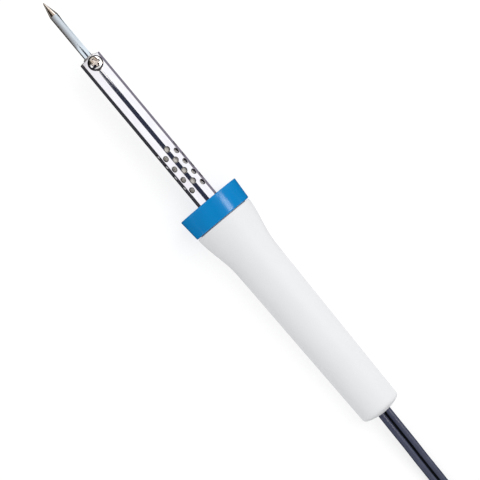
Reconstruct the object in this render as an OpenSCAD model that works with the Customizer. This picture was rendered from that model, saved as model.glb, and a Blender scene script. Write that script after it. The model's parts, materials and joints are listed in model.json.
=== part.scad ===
// Pencil soldering iron with a perforated barrel, a screw-clamped bit and a flat twin cord.
// It lies on a bench, on the front rim of its collar cap and the edge of its tail.
// Inside lying(), X runs along the iron's own axis: 0 is the cap's front face, + is towards
// the tip, and Z is the direction of the clamp screw's head.

/* [Bit] */
// Diameter of the plated working end
bit_d = 3.5; // [3.2:0.1:3.6]
// Distance from the cap's front face to the point
tip_x = 100; // [94:1:112]
// Length of the conical point
point_l = 6.1; // [4:0.1:12]
// Length of the bit that is held inside the barrel
bit_hidden_l = 42; // [40:1:42]

/* [Barrel] */
// Outer diameter of the barrel
barrel_d = 9.3; // [9.2:0.1:9.6]
// Length of barrel in front of the cap
barrel_l = 71.8; // [70:0.2:74]
// Diameter of one vent hole
vent_d = 2; // [1.4:0.1:2.2]
// Spacing of the vent holes along a row
vent_pitch = 5.25; // [4.6:0.05:5.3]
// Number of rows of vent holes round the barrel
vent_rows = 10; // [6:2:10]

/* [Clamp screw] */
// Diameter of the screw's thread
screw_d = 3; // [2.6:0.1:3]
// Diameter of the screw's head
screw_head_d = 6.2; // [5:0.1:6.4]
// Height of the screw's head
screw_head_h = 1.9; // [1.5:0.1:2.4]

/* [Cap and handle] */
// Largest diameter of the collar cap, at its front rim
cap_d = 27.2; // [26.8:0.2:29]
// Length of the collar cap
cap_l = 9.2; // [9:0.1:9.6]
// Distance from the cap's front face to the end of the tail
handle_l = 107.1; // [104:0.1:125]
// Diameter of the grip just behind the flare
grip_d = 19.66; // [19:0.02:21]
// Diameter of the grip at the tail
tail_d = 17.22; // [17:0.02:18]
// How far the flare stands out from the grip at the cap
flare_h = 2.62; // [2:0.02:2.7]

/* [Cord] */
// Width of the flat twin cord
cord_w = 5.8; // [5.2:0.2:5.8]
// How far the iron is rolled about its own axis as it lies
roll = 7; // [0:1:15]

/* [Hidden] */
$fn = 64;
eps = 0.01;

// Bit and heater
bit_r = bit_d / 2;
bare_r = bit_r - 0.05;
plating_taper = 0.65;
bush_back = barrel_l - 7.4;
lip_front = barrel_l + 0.8;
plated_back = lip_front + 0.15;
bit_back = lip_front - bit_hidden_l;
point_r = 0.25;
core_in = bare_r + 0.06;
core_out = core_in + 0.39;
mica_t = 0.2;
layer_gap = 0.05;
winding_in = core_out + mica_t + 2 * layer_gap;
winding_t = 0.5;
turn_pitch = 1;
winding_turns = 28;
winding_back = bit_back + 1.4;
winding_front = winding_back + winding_turns * turn_pitch;
shield_in = winding_in + winding_t + mica_t + 2 * layer_gap + 0.05;

// Barrel
barrel_r = barrel_d / 2;
barrel_wall = 0.4;
barrel_bore = barrel_r - barrel_wall;
vents_per_row = 4;
first_vent = 6.9;

// Clamp screw
screw_x = barrel_l - 3.2;
seat_z = barrel_r - 0.15;
washer_t = 0.65;
washer_r = screw_head_d / 2 - 0.3;
head_z = seat_z + washer_t + 2 * eps;
head_edge_h = 0.55;
recess_span = 3.7;
recess_w = 0.95;
recess_depth = 1.15;

// Cap, flange and the joint between the barrel and the handle
cap_r = cap_d / 2;
cap_back_r = cap_r - 0.65;
cap_slope = atan((cap_r - cap_back_r) / cap_l);
rim_fillet = 0.25;
cap_back_fillet = 0.5;
cap_wall = 1.8;
cap_bore = cap_r - 2.3;
cap_hole = barrel_r + 0.3;
flange_r = cap_bore - 0.5;
flange_front = -3.2;
flange_t = 1;
fibre_front = flange_front - flange_t - 0.05;
fibre_t = 1;
spigot_front = fibre_front - fibre_t - 0.05;
spigot_r = cap_bore - 0.3;
flange_screw_r = 0.9;
flange_screw_ring = 9;
flange_screw_end = -9.6;

// Handle
bore_r = 6.8;
shoulder = cap_l + 0.35;
flare_start = 8.5;
flare_end = 30;
tail_fillet = 1.9;
dome_h = 1.3;
tail_u = handle_l - dome_h - tail_fillet;
dome_edge_r = tail_d / 2 - 1.4;
dome_r = (dome_edge_r * dome_edge_r + dome_h * dome_h) / (2 * dome_h);
bore_end = handle_l - 3.9;

// Leads and cord inside the handle
lobe_r = cord_w / 4;
lead_r = 0.35;
sleeve_back = -21.5;
ferrule_front = -22;
ferrule_l = 10;
cores_front = -36;
sheath_front = -56;
sheath_back = -106.9;
clamp_x = -72;
clamp_l = 8;
saddle_screw_y = 4;
saddle_top = 2.9;

// Lying position: the rim and the tail's edge touch the bench
rim_centre = cap_r - rim_fillet;
tail_centre = tail_d / 2 - tail_fillet;
rest_a = rim_centre - tail_centre;
rest_b = tail_u - rim_fillet;
rest_c = tail_fillet - rim_fillet;
tilt = acos(rest_c / norm([rest_a, rest_b])) - atan2(rest_b, rest_a);
rest_z = rim_centre * cos(tilt) + rim_fillet * sin(tilt) + rim_fillet;
tail_reach = (handle_l - dome_r) * cos(tilt) + dome_r;
mid_x = (tail_reach - tip_x * cos(tilt)) / 2;

// Free cord, in the bench's frame: out of the tail, down to the bench and on to the hank
cord_route = [[-103.2, 0, 8.5], [-108, 0.1, 8.2], [-114, 0.2, 7.6], [-120, 0.3, 6.7],
    [-126, 0.5, 5.5], [-132, 0.6, 4.2], [-138, 0.7, 3], [-144, 0.9, 2.1], [-150, 1, 1.6],
    [-153, 1, 1.5]];
plug_route = [[-246, 19.6, 2.9], [-250, 18.5, 2.9], [-254, 16.9, 3], [-258, 15.2, 3.3],
    [-262, 13.7, 3.8], [-266, 12.5, 4.4], [-270, 11.7, 4.9], [-274, 11.2, 5.4],
    [-278, 11, 5.7], [-282, 11, 5.8]];
on_edge = 90;

// Hank, tie and plug, in the bench's frame
hank_front = -153;
hank_l = 105;
hank_w = 44;
hank_h = 20.6;
waist_w = 12.4;
tie_t = 0.7;
tie_w = 5;
plug_pos = [-282, 11, 5.8];
plug_l = 28;
plug_w = 22;
plug_h = 11.6;
neck_l = 9;
neck_w = 9;
neck_h = 6.4;
plug_corner = 2.5;
blade_l = 17;
blade_w = 6.3;
blade_t = 1.5;
blade_gap = 12.7;

// Places its children in the iron's own frame as it lies on the bench
module lying() {
    translate([mid_x, 0, rest_z])
        rotate([0, -tilt, 0])
            rotate([roll, 0, 0])
                children();
}

// Solid round bar along X, from x forwards
module bar(x, l, r) {
    translate([x, 0, 0])
        rotate([0, 90, 0])
            cylinder(h = l, r = r);
}

// Round tube along X, from x forwards
module tube(x, l, r_out, r_in) {
    difference() {
        bar(x, l, r_out);
        bar(x - 1, l + 2, r_in);
    }
}

// Turned solid from an outline of [radius, x] points
module turned(outline) {
    rotate([0, 90, 0])
        rotate_extrude()
            polygon(outline);
}

// The same piece on both of the cord's conductors
module both_sides(y) {
    for (side = [-1, 1])
        translate([0, side * y, 0])
            children();
}

// Round stretch of an outline: 0 degrees points along +X and 90 outwards
function arc(r, x, fillet, from, to, steps) =
    [for (i = [0 : steps])
        let (a = from + (to - from) * i / steps)
        [r + fillet * sin(a), x + fillet * cos(a)]];

// Grip radius at a distance behind the cap's front face
function grip_r(u) =
    grip_d / 2 - (grip_d - tail_d) / 2 * (u - flare_end) / (tail_u - flare_end)
    + (u < flare_end ? flare_h * (1 + cos(180 * (u - flare_start) / (flare_end - flare_start))) / 2 : 0);

module bit() {
    color("lightsteelblue")
        lying()
            turned([
                [0, bit_back],
                [bare_r - 0.3, bit_back],
                [bare_r, bit_back + 0.3],
                [bare_r, plated_back - plating_taper],
                [bit_r, plated_back],
                [bit_r, tip_x - point_l],
                [point_r, tip_x - 0.2],
                [point_r / 2, tip_x],
                [0, tip_x]]);
}

module cross_recess() {
    translate([0, 0, screw_head_h - recess_depth])
        for (turn = [0, 90])
            rotate([0, 0, turn])
                translate([-recess_span / 2, -recess_w / 2, 0])
                    cube([recess_span, recess_w, recess_depth + 1]);
}

module clamp_screw() {
    dome_edge = screw_head_d / 2;
    dome = screw_head_h - head_edge_h;
    sphere_r = (dome_edge * dome_edge + dome * dome) / (2 * dome);
    edge_angle = asin(dome_edge / sphere_r);
    head_outline = concat(
        [[0, 0], [dome_edge, 0]],
        [for (i = [0 : 8])
            let (a = edge_angle * (1 - i / 8))
            [sphere_r * sin(a), screw_head_h - sphere_r * (1 - cos(a))]]);
    color("silver")
        lying()
            translate([screw_x, 0, 0]) {
                translate([0, 0, head_z])
                    difference() {
                        rotate_extrude()
                            polygon(head_outline);
                        cross_recess();
                    }
                translate([0, 0, bare_r + 0.03])
                    cylinder(h = head_z - bare_r, r = screw_d / 2);
            }
}

module spring_washer() {
    slot_w = 0.5;
    color("dimgray")
        lying()
            translate([screw_x, 0, seat_z + eps])
                difference() {
                    cylinder(h = washer_t, r = washer_r);
                    translate([0, 0, -1])
                        cylinder(h = washer_t + 2, r = screw_d / 2 + 0.1);
                    translate([-washer_r - 1, -slot_w / 2, -1])
                        cube([washer_r, slot_w, washer_t + 2]);
                }
}

module front_bush() {
    lip_r = bit_r + 0.7;
    bush_r = barrel_bore - 0.03;
    color("gainsboro")
        lying()
            difference() {
                turned([
                    [bare_r + 0.06, bush_back],
                    [bush_r, bush_back],
                    [bush_r, barrel_l - 0.1],
                    [lip_r, barrel_l - 0.1],
                    [lip_r, lip_front - 0.2],
                    [lip_r - 0.2, lip_front],
                    [bare_r + 0.06, lip_front]]);
                translate([screw_x, 0, 0])
                    cylinder(h = barrel_r, r = screw_d / 2 + 0.05);
            }
}

module vent_holes() {
    for (row = [0 : vent_rows - 1])
        rotate([row * 360 / vent_rows, 0, 0])
            for (i = [0 : vents_per_row - 1])
                translate([first_vent + vent_pitch * (i + (row % 2 == 0 ? 0.5 : 0)), 0, 0])
                    cylinder(h = barrel_r + 1, r = vent_d / 2);
}

module barrel_tube() {
    back = flange_front - flange_t;
    color("gainsboro")
        lying()
            difference() {
                bar(back, barrel_l - back, barrel_r);
                bar(back - 1, barrel_l - back + 2, barrel_bore);
                vent_holes();
                translate([screw_x, 0, 0])
                    cylinder(h = barrel_r + 1, r = screw_d / 2 + 0.2);
                translate([screw_x, 0, seat_z])
                    cylinder(h = 1, r = screw_head_d / 2);
            }
}

module heater_core() {
    color("slategray")
        lying()
            tube(bit_back - 1.2, bush_back - bit_back + 1, core_out, core_in);
}

module core_plug() {
    color("ivory")
        lying()
            bar(bit_back - 1.2, 1.1, core_in - 0.02);
}

module inner_mica() {
    color("khaki")
        lying()
            tube(bit_back - 0.6, winding_front - bit_back + 2, core_out + layer_gap + mica_t,
                core_out + layer_gap);
}

module heater_winding() {
    valley = winding_in + 0.2;
    crest = winding_in + winding_t;
    ridges = [for (i = [0 : winding_turns - 1])
        each [[valley, winding_back + i * turn_pitch],
            [crest, winding_back + (i + 0.35) * turn_pitch],
            [crest, winding_back + (i + 0.65) * turn_pitch]]];
    color("peru")
        lying()
            turned(concat(
                [[winding_in, winding_back]],
                ridges,
                [[valley, winding_front], [winding_in, winding_front]]));
}

module outer_mica() {
    r_in = winding_in + winding_t + layer_gap;
    color("khaki")
        lying()
            tube(winding_back, winding_front - winding_back + 0.6, r_in + mica_t, r_in);
}

module heat_shield() {
    color("silver")
        lying()
            tube(bit_back - 1.2, bush_back - bit_back + 1, shield_in + 0.3, shield_in);
}

module ceramic_insulator() {
    front = 27.9;
    back = 1;
    collar_l = 1.2;
    collar_r = barrel_bore - 0.1;
    rod_r = 3;
    color("ivory")
        lying()
            difference() {
                union() {
                    bar(back, front - back, rod_r);
                    bar(back, collar_l, collar_r);
                    bar(front - collar_l, collar_l, collar_r);
                }
                both_sides(lobe_r)
                    bar(back - 1, front - back + 2, lead_r + 0.15);
            }
}

// Lead wires run back from the winding's ends to the crimp ferrules
module heater_leads() {
    stub_x = bit_back - 2.2;
    stub_y = winding_in + winding_t / 2;
    thin_r = 0.22;
    back = ferrule_front - 5.5;
    color("silver")
        lying()
            for (side = [-1, 1]) {
                translate([0, side * lobe_r, 0]) {
                    bar(back, stub_x + lead_r - back, lead_r);
                    translate([stub_x, 0, 0])
                        rotate([-90 * side, 0, 0])
                            cylinder(h = stub_y - lobe_r, r = lead_r - 0.05);
                }
                translate([0, side * stub_y, 0])
                    bar(stub_x, winding_back - stub_x, thin_r);
            }
}

module lead_sleeves() {
    color("white")
        lying()
            both_sides(lobe_r)
                tube(sleeve_back, 0.8 - sleeve_back, 0.95, lead_r + 0.08);
}

module crimp_ferrules() {
    color("goldenrod")
        lying()
            both_sides(lobe_r)
                tube(ferrule_front - ferrule_l, ferrule_l, 0.9, 0.5);
}

module ferrule_sleeves() {
    color("white")
        lying()
            both_sides(lobe_r)
                tube(ferrule_front - ferrule_l - 0.4, ferrule_l + 0.6, 1.35, 0.95);
}

module barrel_flange() {
    color("silver")
        lying()
            difference() {
                tube(flange_front - flange_t, flange_t, flange_r, barrel_r + 0.02);
                flange_screw_places()
                    bar(flange_front - flange_t - 1, flange_t + 2, flange_screw_r + 0.1);
            }
}

module fibre_disc() {
    color("sienna")
        lying()
            difference() {
                tube(fibre_front - fibre_t, fibre_t, flange_r, 3.2);
                flange_screw_places()
                    bar(fibre_front - fibre_t - 1, fibre_t + 2, flange_screw_r + 0.1);
            }
}

module flange_screw_places() {
    for (turn = [0, 120, 240])
        rotate([turn, 0, 0])
            translate([0, 0, flange_screw_ring])
                children();
}

module flange_screws() {
    head_r = 1.7;
    head_h = 1.1;
    color("silver")
        lying()
            flange_screw_places()
                difference() {
                    union() {
                        bar(flange_screw_end, flange_front - flange_screw_end, flange_screw_r);
                        bar(flange_front, head_h, head_r);
                    }
                    translate([flange_front + head_h - 0.5, -head_r - 1, -0.25])
                        cube([1, 2 * head_r + 2, 0.5]);
                }
}

module front_cap() {
    outline = concat(
        [[cap_hole, 0]],
        arc(cap_r - rim_fillet, -rim_fillet, rim_fillet, 0, 90 + cap_slope, 5),
        arc(cap_back_r - cap_back_fillet, cap_back_fillet - cap_l, cap_back_fillet,
            90 + cap_slope, 180, 5),
        [[cap_bore, -cap_l], [cap_bore, -cap_wall], [cap_hole, -cap_wall]]);
    color("dodgerblue")
        lying()
            turned(outline);
}

module cord_slot(x, l, r) {
    both_sides(lobe_r)
        bar(x, l, r);
    translate([x, -lobe_r, -r])
        cube([l, 2 * lobe_r, 2 * r]);
}

module handle() {
    dome_angle = asin(dome_edge_r / dome_r);
    thread_crest = 0.22;
    outline = concat(
        [[bore_r, spigot_front], [spigot_r, spigot_front]],
        [for (x = [spigot_front - 0.8, spigot_front - 2.4])
            each [[spigot_r, x], [spigot_r + thread_crest, x - 0.3],
                [spigot_r + thread_crest, x - 0.5], [spigot_r, x - 0.8]]],
        [[spigot_r, -shoulder]],
        [for (i = [0 : 12])
            let (u = shoulder + (flare_end - shoulder) * i / 12)
            [grip_r(u), -u]],
        arc(tail_centre, -tail_u, tail_fillet, 90, 165, 6),
        [for (i = [0 : 5])
            let (a = dome_angle * (1 - i / 5))
            [dome_r * sin(a), dome_r * (1 - cos(a)) - handle_l]],
        [[0, -bore_end], [bore_r, -bore_end]]);
    color("white")
        lying()
            difference() {
                turned(outline);
                cord_slot(-handle_l - 1, handle_l - bore_end + 2, lobe_r + 0.15);
                flange_screw_places()
                    bar(flange_screw_end - 0.4, spigot_front - flange_screw_end + 1,
                        flange_screw_r + 0.02);
            }
}

module cord_conductors() {
    color("chocolate")
        lying()
            both_sides(lobe_r)
                bar(sheath_front, ferrule_front - 6 - sheath_front, 0.45);
}

module cord_cores() {
    color("darkslateblue")
        lying()
            both_sides(lobe_r)
                tube(sheath_front, cores_front - sheath_front, 1.2, 0.47);
}

module inner_cord() {
    web = 0.8;
    color("darkslategray")
        lying() {
            both_sides(lobe_r)
                bar(sheath_back, sheath_front - eps - sheath_back, lobe_r);
            translate([sheath_back, -web, -web])
                cube([sheath_front - eps - sheath_back, 2 * web, 2 * web]);
        }
}

module saddle_screw_places() {
    for (side = [-1, 1])
        translate([clamp_x + clamp_l / 2, side * saddle_screw_y, 0])
            children();
}

module clamp_base() {
    top = -lobe_r - 0.05;
    color("whitesmoke")
        lying()
            difference() {
                bar(clamp_x, clamp_l, bore_r - 0.05);
                translate([clamp_x - 1, -bore_r, top])
                    cube([clamp_l + 2, 2 * bore_r, 2 * bore_r]);
                saddle_screw_places()
                    translate([0, 0, -5.2])
                        cylinder(h = 6, r = 0.82);
            }
}

module clamp_saddle() {
    bottom = lobe_r + 0.05;
    half_w = 5.6;
    color("silver")
        lying()
            difference() {
                translate([clamp_x, -half_w, bottom])
                    cube([clamp_l, 2 * half_w, saddle_top - bottom]);
                saddle_screw_places()
                    cylinder(h = 5, r = 0.95);
            }
}

module saddle_screws() {
    color("silver")
        lying()
            saddle_screw_places() {
                translate([0, 0, -5])
                    cylinder(h = saddle_top + 5, r = 0.8);
                translate([0, 0, saddle_top])
                    cylinder(h = 0.95, r = 1.3);
            }
}

// Flat twin outline: half of the points round each conductor
function cord_section() =
    [for (side = [1, -1], step = [0 : 5])
        let (a = (side > 0 ? -90 : 90) + 36 * step)
        [side * lobe_r + lobe_r * cos(a), lobe_r * sin(a)]];

function unit(v) = v / norm(v);

function heading(route, i) =
    unit(route[min(i + 1, len(route) - 1)] - route[max(i - 1, 0)]);

// One ring of the cord, square to its route and turned about it
function cord_ring(route, i, turn) =
    let (
        ahead = heading(route, i),
        side = unit(cross([0, 0, 1], ahead)),
        up = cross(ahead, side))
    [for (p = cord_section())
        route[i] + side * (p[0] * cos(turn) - p[1] * sin(turn))
            + up * (p[0] * sin(turn) + p[1] * cos(turn))];

module flat_cord(route, turn_from, turn_to) {
    sides = 12;
    last = len(route) - 1;
    rings = [for (i = [0 : last])
        each cord_ring(route, i, turn_from + (turn_to - turn_from) * i / last)];
    walls = [for (i = [0 : last - 1], j = [0 : sides - 1])
        let (
            next = (j + 1) % sides,
            near = i * sides,
            far = near + sides)
        each [[near + j, far + j, far + next], [near + j, far + next, near + next]]];
    first_end = [for (j = [0 : sides - 1]) j];
    last_end = [for (j = [sides - 1 : -1 : 0]) last * sides + j];
    polyhedron(rings, concat([first_end], walls, [last_end]));
}

module cord() {
    color("darkslategray")
        flat_cord(cord_route, -roll, 0);
}

module cord_hank() {
    end_r = hank_w / 2;
    color("darkslategray")
        translate([hank_front - hank_l / 2, 0, 0])
            linear_extrude(hank_h) {
                for (end = [-1, 1])
                    translate([end * (hank_l / 2 - end_r), 0])
                        circle(r = end_r);
                square([hank_l - 2 * end_r, waist_w], center = true);
            }
}

module cord_tie() {
    color("black")
        translate([hank_front - hank_l / 2 - tie_w / 2, 0, 0])
            difference() {
                translate([0, -waist_w / 2 - tie_t, 0])
                    cube([tie_w, waist_w + 2 * tie_t, hank_h + tie_t]);
                translate([-1, -waist_w / 2, tie_t])
                    cube([tie_w + 2, waist_w, hank_h - tie_t]);
            }
}

module plug_cord() {
    color("darkslategray")
        flat_cord(plug_route, on_edge, 0);
}

// Outline of the plug seen from one side: a narrow neck that widens to the body
function plug_outline(neck, body) =
    concat(
        [[0, -neck / 2], [neck_l - 4, -neck / 2], [neck_l, -body / 2]],
        [for (a = [0 : 30 : 90])
            [plug_l - plug_corner + plug_corner * sin(a), plug_corner - body / 2 - plug_corner * cos(a)]],
        [for (a = [0 : 30 : 90])
            [plug_l - plug_corner + plug_corner * cos(a), body / 2 - plug_corner + plug_corner * sin(a)]],
        [[neck_l, body / 2], [neck_l - 4, neck / 2], [0, neck / 2]]);

// Inside, +X runs from the neck to the plug's face
module plug_place() {
    translate(plug_pos)
        rotate([0, 0, 180])
            children();
}

module plug_body() {
    color("black")
        plug_place()
            intersection() {
                translate([0, 0, -plug_h])
                    linear_extrude(2 * plug_h)
                        polygon(plug_outline(neck_w, plug_w));
                rotate([90, 0, 0])
                    translate([0, 0, -plug_w])
                        linear_extrude(2 * plug_w)
                            polygon(plug_outline(neck_h, plug_h));
            }
}

module plug_blades() {
    hole_r = 1.5;
    color("gold")
        plug_place()
            both_sides(blade_gap / 2)
                difference() {
                    translate([plug_l, -blade_t / 2, -blade_w / 2])
                        cube([blade_l, blade_t, blade_w]);
                    translate([plug_l + blade_l - 4.8, blade_t, 0])
                        rotate([90, 0, 0])
                            cylinder(h = 2 * blade_t, r = hole_r);
                }
}

bit();
clamp_screw();
spring_washer();
front_bush();
barrel_tube();
heater_core();
core_plug();
inner_mica();
heater_winding();
outer_mica();
heat_shield();
ceramic_insulator();
heater_leads();
lead_sleeves();
crimp_ferrules();
ferrule_sleeves();
barrel_flange();
fibre_disc();
flange_screws();
front_cap();
handle();
cord_conductors();
cord_cores();
inner_cord();
clamp_base();
clamp_saddle();
saddle_screws();
cord();
cord_hank();
cord_tie();
plug_cord();
plug_body();
plug_blades();
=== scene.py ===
"""A pencil soldering iron lying on a pale bench, seen from above, with its cord put away in a tied hank."""
import json
import math

import bmesh
import bpy
from mathutils import Matrix, Vector


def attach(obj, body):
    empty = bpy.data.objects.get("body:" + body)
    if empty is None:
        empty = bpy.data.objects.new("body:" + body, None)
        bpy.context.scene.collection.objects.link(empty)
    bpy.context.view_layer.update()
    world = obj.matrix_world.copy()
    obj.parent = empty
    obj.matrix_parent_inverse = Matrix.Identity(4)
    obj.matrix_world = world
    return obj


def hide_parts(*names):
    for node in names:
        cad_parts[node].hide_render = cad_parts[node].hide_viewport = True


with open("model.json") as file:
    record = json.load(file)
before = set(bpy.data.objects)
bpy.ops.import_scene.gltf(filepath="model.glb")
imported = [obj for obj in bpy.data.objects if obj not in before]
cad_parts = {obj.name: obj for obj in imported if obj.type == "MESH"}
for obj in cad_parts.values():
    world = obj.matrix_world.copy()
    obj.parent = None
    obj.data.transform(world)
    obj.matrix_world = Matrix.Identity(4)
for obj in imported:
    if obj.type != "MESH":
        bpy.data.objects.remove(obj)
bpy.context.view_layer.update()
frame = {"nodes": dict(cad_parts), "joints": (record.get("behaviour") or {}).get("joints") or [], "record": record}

MM = 0.001
JOINTS = {joint["name"]: joint for joint in frame["joints"]}

# The iron's own frame, as in the CAD model: x from the cap's front face towards the tip and
# z out of the clamp screw's head, in millimetres. The clamp screw's joint lies on its seat.
SCREW_X, SEAT_Z = 68.6, 4.5
HEAD_R = 3.1
AXIS = Vector(JOINTS["bit_slide"]["axis"]).normalized()
SCREW_UP = Vector(JOINTS["clamp_turn"]["axis"]).normalized()
SIDE = SCREW_UP.cross(AXIS)
ORIGIN = Vector(JOINTS["clamp_turn"]["pos_m"]) - (AXIS * SCREW_X + SCREW_UP * SEAT_Z) * MM
TO_WORLD = Matrix.Translation(ORIGIN) @ Matrix((AXIS, SIDE, SCREW_UP)).transposed().to_4x4() @ Matrix.Scale(MM, 4)


# ---------------------------------------------------------------- camera
LENS, SENSOR = 200.0, 36.0
FRAME_W = 0.1867            # width of the picture at the iron's axis
TURN = math.radians(50.15)  # how far the iron's axis is turned from the picture's left edge
AIM_X, AIM_Y = -19.8, 0.24  # the picture's centre, along and beside the axis


def add_camera():
    """Looks square down on the iron's axis, with the tip at the upper left."""
    across = Vector((0, 1, 0))
    back = AXIS.cross(across)
    right = -math.cos(TURN) * AXIS - math.sin(TURN) * across
    up = math.sin(TURN) * AXIS - math.cos(TURN) * across
    aim = ORIGIN + AXIS * AIM_X * MM + across * AIM_Y * MM
    data = bpy.data.cameras.new("camera")
    data.lens, data.sensor_width = LENS, SENSOR
    data.clip_start, data.clip_end = 0.01, 20
    camera = bpy.data.objects.new("camera", data)
    bpy.context.collection.objects.link(camera)
    turned = Matrix((right, up, back)).transposed().to_4x4()
    camera.matrix_world = Matrix.Translation(aim + back * FRAME_W * LENS / SENSOR) @ turned
    bpy.context.scene.camera = camera


add_camera()


# ---------------------------------------------------------------- numbers
def lerp(a, b, t):
    return a + (b - a) * t


def smooth(t):
    """0 to 1 with level ends."""
    t = min(max(t, 0.0), 1.0)
    return t * t * (3 - 2 * t)


# ---------------------------------------------------------------- materials
class Look:
    """A node material that is drawn in the iron's own millimetres."""

    def __init__(self, name, color, metallic=0.0, roughness=0.5, specular=0.5):
        self.slot = name
        self.material = bpy.data.materials.new(name + "_look")
        self.material.use_nodes = True
        self.tree = self.material.node_tree
        self.shader = self.tree.nodes["Principled BSDF"]
        self.shader.inputs["Base Color"].default_value = (*color, 1)
        self.shader.inputs["Metallic"].default_value = metallic
        self.shader.inputs["Roughness"].default_value = roughness
        self.shader.inputs["Specular IOR Level"].default_value = specular
        self.height = None
        frame_place = self.node("Mapping", Vector=self.node("TexCoord").outputs["Object"])
        frame_place.vector_type = "TEXTURE"
        frame_place.inputs["Location"].default_value = ORIGIN
        frame_place.inputs["Rotation"].default_value = TO_WORLD.to_euler()
        frame_place.inputs["Scale"].default_value = (MM, MM, MM)
        self.place = frame_place.outputs["Vector"]

    def node(self, kind, **inputs):
        """A new node with values or links for its inputs."""
        node = self.tree.nodes.new("ShaderNode" + kind)
        for name, value in inputs.items():
            if isinstance(value, bpy.types.NodeSocket):
                self.tree.links.new(value, node.inputs[name.replace("_", " ")])
            else:
                node.inputs[name.replace("_", " ")].default_value = value
        return node

    def noise(self, size, detail=2.0):
        """Cloudy noise, with its size in millimetres along x, y and z."""
        mapped = self.node("Mapping", Vector=self.place, Scale=tuple(1 / s for s in size))
        return self.node("TexNoise", Vector=mapped.outputs["Vector"], Scale=1.0, Detail=detail).outputs["Fac"]

    def weave(self, pitch):
        """The height of a plain weave of crossing threads."""
        threads = []
        for axis in ("X", "Z"):
            wave = self.node("TexWave", Vector=self.place, Scale=math.pi / 10 / pitch, Distortion=0.6)
            wave.bands_direction = axis
            threads.append(wave.outputs["Fac"])
        crossed = self.node("Math")
        crossed.operation = "MULTIPLY"
        for thread, entry in zip(threads, crossed.inputs):
            self.tree.links.new(thread, entry)
        return crossed.outputs["Value"]

    def cells(self, size):
        """Distance from the middle of scattered cells, for flakes and spangle."""
        mapped = self.node("Mapping", Vector=self.place, Scale=tuple(1 / s for s in size))
        return self.node("TexVoronoi", Vector=mapped.outputs["Vector"], Scale=1.0).outputs["Distance"]

    def bands(self, factor, stops):
        """Colour from the factor, through (place, colour) stops."""
        ramp = self.node("ValToRGB", Fac=factor)
        elements = ramp.color_ramp.elements
        while len(elements) < len(stops):
            elements.new(0.5)
        for element, (place, color) in zip(elements, stops):
            element.position = place
            element.color = (*color, 1)
        self.tree.links.new(ramp.outputs["Color"], self.shader.inputs["Base Color"])
        return self

    def tint(self, factor, *colors, low=0.35, high=0.65):
        """Colour from the factor, through two or more colours spread evenly between low and high."""
        last = len(colors) - 1
        return self.bands(factor, [(lerp(low, high, i / last), color) for i, color in enumerate(colors)])

    def polish(self, factor, smoothest, roughest):
        """Roughness from the factor."""
        span = self.node("MapRange", Value=factor, From_Min=0.3, From_Max=0.7,
                         To_Min=smoothest, To_Max=roughest)
        self.tree.links.new(span.outputs["Result"], self.shader.inputs["Roughness"])
        return self

    def relief(self, factor, depth):
        """Small relief from the factor, with its depth in millimetres; more than one adds up."""
        bump = self.node("Bump", Height=factor, Distance=depth * MM, Strength=1.0)
        if self.height is not None:
            self.tree.links.new(self.height, bump.inputs["Normal"])
        self.height = bump.outputs["Normal"]
        self.tree.links.new(self.height, self.shader.inputs["Normal"])
        return self


def turned_metal(name, color, shade, smoothest, roughest, ring=0.12, depth=0.002):
    """Metal with the fine rings of a lathe round the iron's axis."""
    look = Look(name, color, metallic=1.0)
    rings = look.noise((ring, 40, 40))
    clouds = look.noise((3, 3, 3))
    return look.tint(clouds, shade, color).polish(rings, smoothest, roughest).relief(rings, depth)


def drawn_metal(name, color, shade, smoothest, roughest, line=0.25, depth=0.001):
    """Metal with the long faint lines of a drawing die."""
    look = Look(name, color, metallic=1.0)
    lines = look.noise((60, line, line))
    clouds = look.noise((9, 2, 2))
    return look.tint(clouds, shade, color).polish(lines, smoothest, roughest).relief(lines, depth)


def plated_metal(name, color, shade, smoothest, roughest, size=0.8, depth=0.003):
    """Plated or pickled metal with small cloudy spangles and scratches."""
    look = Look(name, color, metallic=1.0)
    spangle = look.cells((size, size, size))
    scratches = look.noise((0.1, 2.5, 0.3))
    return look.tint(spangle, color, shade, low=0.2, high=0.8).polish(scratches, smoothest, roughest).relief(
        scratches, depth)


def moulded(name, color, shade, smoothest, roughest, grain=0.25, depth=0.006, specular=0.5):
    """Moulded plastic or rubber with a fine grain and a slow change of tone."""
    look = Look(name, color, specular=specular)
    fine = look.noise((grain, grain, grain), detail=3.0)
    clouds = look.noise((14, 7, 7))
    return look.tint(clouds, shade, color).polish(clouds, smoothest, roughest).relief(fine, depth)


def barrel_look():
    """Bright plated steel tube, with faint draw lines and a little cloudy haze."""
    look = Look("barrel_chrome", (0.9, 0.895, 0.92), metallic=1.0)
    lines = look.noise((80, 0.35, 0.35))
    haze = look.noise((7, 3, 3))
    look.tint(haze, (0.86, 0.845, 0.87), (0.92, 0.915, 0.935))
    return look.polish(haze, 0.05, 0.09).relief(lines, 0.0002)


def shank_look():
    """Smooth satin plating with a faint change of tone."""
    look = Look("bit_plating", (0.8, 0.85, 0.89), metallic=1.0)
    clouds = look.noise((9, 3, 3))
    look.tint(clouds, (0.65, 0.725, 0.78), (0.69, 0.765, 0.82))
    return look.polish(clouds, 0.08, 0.11)


def tip_look():
    """The working cone: iron plated, browned by heat and polished by use."""
    look = Look("tip_working_face", (0.8, 0.74, 0.68), metallic=1.0)
    burnt = look.noise((1.4, 0.8, 0.8), detail=4.0)
    rings = look.noise((0.15, 20, 20))
    look.tint(burnt, (0.72, 0.64, 0.56), (0.92, 0.88, 0.84))
    return look.polish(burnt, 0.06, 0.13).relief(rings, 0.0004)


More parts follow.
